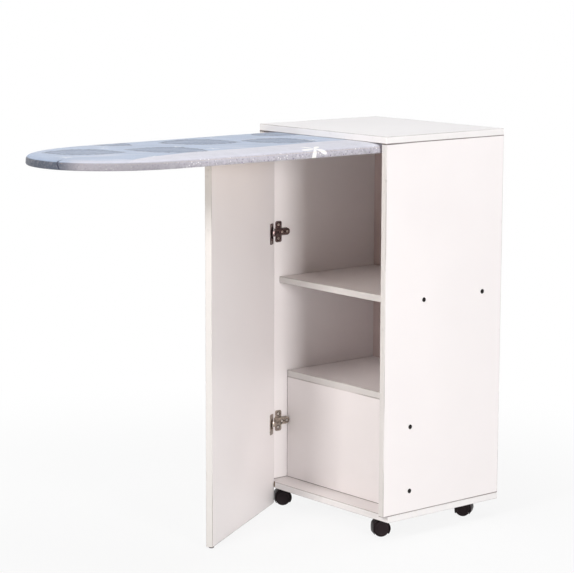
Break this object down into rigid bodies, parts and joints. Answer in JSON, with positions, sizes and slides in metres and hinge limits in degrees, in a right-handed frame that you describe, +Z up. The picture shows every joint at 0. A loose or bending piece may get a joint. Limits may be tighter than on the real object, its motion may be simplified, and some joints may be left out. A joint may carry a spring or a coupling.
{
  "type": "mirrored ironing board cabinet",
  "caption": "White cabinet on casters with a mirrored door that swings out to prop up a padded ironing board hinged under the top.",
  "frame": {"origin": "on the floor, in the middle of the area that the whole object covers with its board out", "axes": "+Z up, +Y from the tip of the board to the cabinet's back, +X to the right as seen from the door's side"},
  "size_m": [0.43, 1.091, 0.892],
  "materials": {
    "white_coated_board": "melamine-coated chipboard, satin white with a fine even grain in the sheen",
    "white_hardboard": "hardboard, white lacquered on the inside, brown fibre at the rear",
    "beech": "plain turned and fluted hardwood",
    "dark_screw_steel": "black oxide with a faint sheen",
    "zinc_plated_steel": "bright zinc plate",
    "bronzed_steel": "pressed steel, nickel plate with a warm bronze tint",
    "hinge_screw_steel": "plated steel, slightly warm",
    "white_nylon": "moulded nylon, matt",
    "mirror_glass": "clear silvered glass with ground edges",
    "glide_plastic": "dark moulded plastic",
    "raw_particle_board": "sanded raw chipboard",
    "felt": "dense needled felt",
    "printed_cotton": "pale blue woven cotton with darker blue soft shapes, heathered at the edge",
    "blackened_steel": "black lacquered steel",
    "black_nylon": "moulded black nylon, satin",
    "black_wheel_plastic": "black moulded wheel, worn satin on the tread"
  },
  "bodies": {
    "cabinet": {"top_panel": "white_coated_board", "left_side": "white_coated_board", "right_side": "white_coated_board", "bottom_panel": "white_coated_board", "back_panel": "white_hardboard", "middle_shelf": "white_coated_board", "lower_shelf": "white_coated_board", "lower_partition": "white_coated_board", "panel_dowels": "beech", "bottom_screws": "dark_screw_steel", "side_screws": "dark_screw_steel", "shelf_pegs": "zinc_plated_steel", "upper_hinge_plate": "bronzed_steel", "lower_hinge_plate": "bronzed_steel", "upper_hinge_arm": "bronzed_steel", "lower_hinge_arm": "bronzed_steel", "hinge_plate_screws": "hinge_screw_steel", "hinge_arm_screws": "hinge_screw_steel", "board_bushes": "white_nylon", "caster_plate_screws": "zinc_plated_steel", "front_left_caster_plate": "blackened_steel", "front_right_caster_plate": "blackened_steel", "rear_left_caster_plate": "blackened_steel", "rear_right_caster_plate": "blackened_steel"},
    "door": {"door_panel": "white_coated_board", "mirror": "mirror_glass", "upper_hinge_cup": "bronzed_steel", "lower_hinge_cup": "bronzed_steel", "hinge_pins": "zinc_plated_steel", "hinge_cup_screws": "hinge_screw_steel", "door_glide": "glide_plastic"},
    "ironing_board": {"board_core": "raw_particle_board", "board_pad": "felt", "board_cover": "printed_cotton", "board_pivot_pins": "zinc_plated_steel"},
    "front_left_swivel": {"front_left_caster_housing": "black_nylon", "front_left_caster_kingpin": "zinc_plated_steel"},
    "front_left_wheels": {"front_left_caster_wheels": "black_wheel_plastic", "front_left_caster_axle": "zinc_plated_steel"},
    "front_right_swivel": {"front_right_caster_housing": "black_nylon", "front_right_caster_kingpin": "zinc_plated_steel"},
    "front_right_wheels": {"front_right_caster_wheels": "black_wheel_plastic", "front_right_caster_axle": "zinc_plated_steel"},
    "rear_left_swivel": {"rear_left_caster_housing": "black_nylon", "rear_left_caster_kingpin": "zinc_plated_steel"},
    "rear_left_wheels": {"rear_left_caster_wheels": "black_wheel_plastic", "rear_left_caster_axle": "zinc_plated_steel"},
    "rear_right_swivel": {"rear_right_caster_housing": "black_nylon", "rear_right_caster_kingpin": "zinc_plated_steel"},
    "rear_right_wheels": {"rear_right_caster_wheels": "black_wheel_plastic", "rear_right_caster_axle": "zinc_plated_steel"}
  },
  "joints": [
    {"name": "door_hinge", "type": "hinge", "parent": "cabinet", "child": "door", "pos_m": [-0.187, 0.1985, 0.419], "axis": [0, 0, -1], "range_deg": [-59, 46]},
    {"name": "board_pivot", "type": "hinge", "parent": "cabinet", "child": "ironing_board", "pos_m": [0, 0.2265, 0.8625], "axis": [-1, 0, 0], "range_deg": [0, 4]},
    {"name": "front_left_caster_swivel", "type": "hinge", "parent": "cabinet", "child": "front_left_swivel", "pos_m": [-0.171, 0.241, 0.038], "axis": [0, 0, 1], "continuous": true},
    {"name": "front_left_wheel_spin", "type": "hinge", "parent": "front_left_swivel", "child": "front_left_wheels", "pos_m": [-0.1775, 0.22974, 0.018], "axis": [0.866, -0.5, 0], "continuous": true},
    {"name": "front_right_caster_swivel", "type": "hinge", "parent": "cabinet", "child": "front_right_swivel", "pos_m": [0.171, 0.241, 0.038], "axis": [0, 0, 1], "continuous": true},
    {"name": "front_right_wheel_spin", "type": "hinge", "parent": "front_right_swivel", "child": "front_right_wheels", "pos_m": [0.1649, 0.22952, 0.018], "axis": [0.8829, -0.4695, 0], "continuous": true},
    {"name": "rear_left_caster_swivel", "type": "hinge", "parent": "cabinet", "child": "rear_left_swivel", "pos_m": [-0.171, 0.4995, 0.038], "axis": [0, 0, 1], "continuous": true},
    {"name": "rear_left_wheel_spin", "type": "hinge", "parent": "rear_left_swivel", "child": "rear_left_wheels", "pos_m": [-0.17629, 0.48762, 0.018], "axis": [0.9135, -0.4067, 0], "continuous": true},
    {"name": "rear_right_caster_swivel", "type": "hinge", "parent": "cabinet", "child": "rear_right_swivel", "pos_m": [0.171, 0.4995, 0.038], "axis": [0, 0, 1], "continuous": true},
    {"name": "rear_right_wheel_spin", "type": "hinge", "parent": "rear_right_swivel", "child": "rear_right_wheels", "pos_m": [0.1601, 0.49242, 0.018], "axis": [0.5446, -0.8387, 0], "continuous": true}
  ]
}
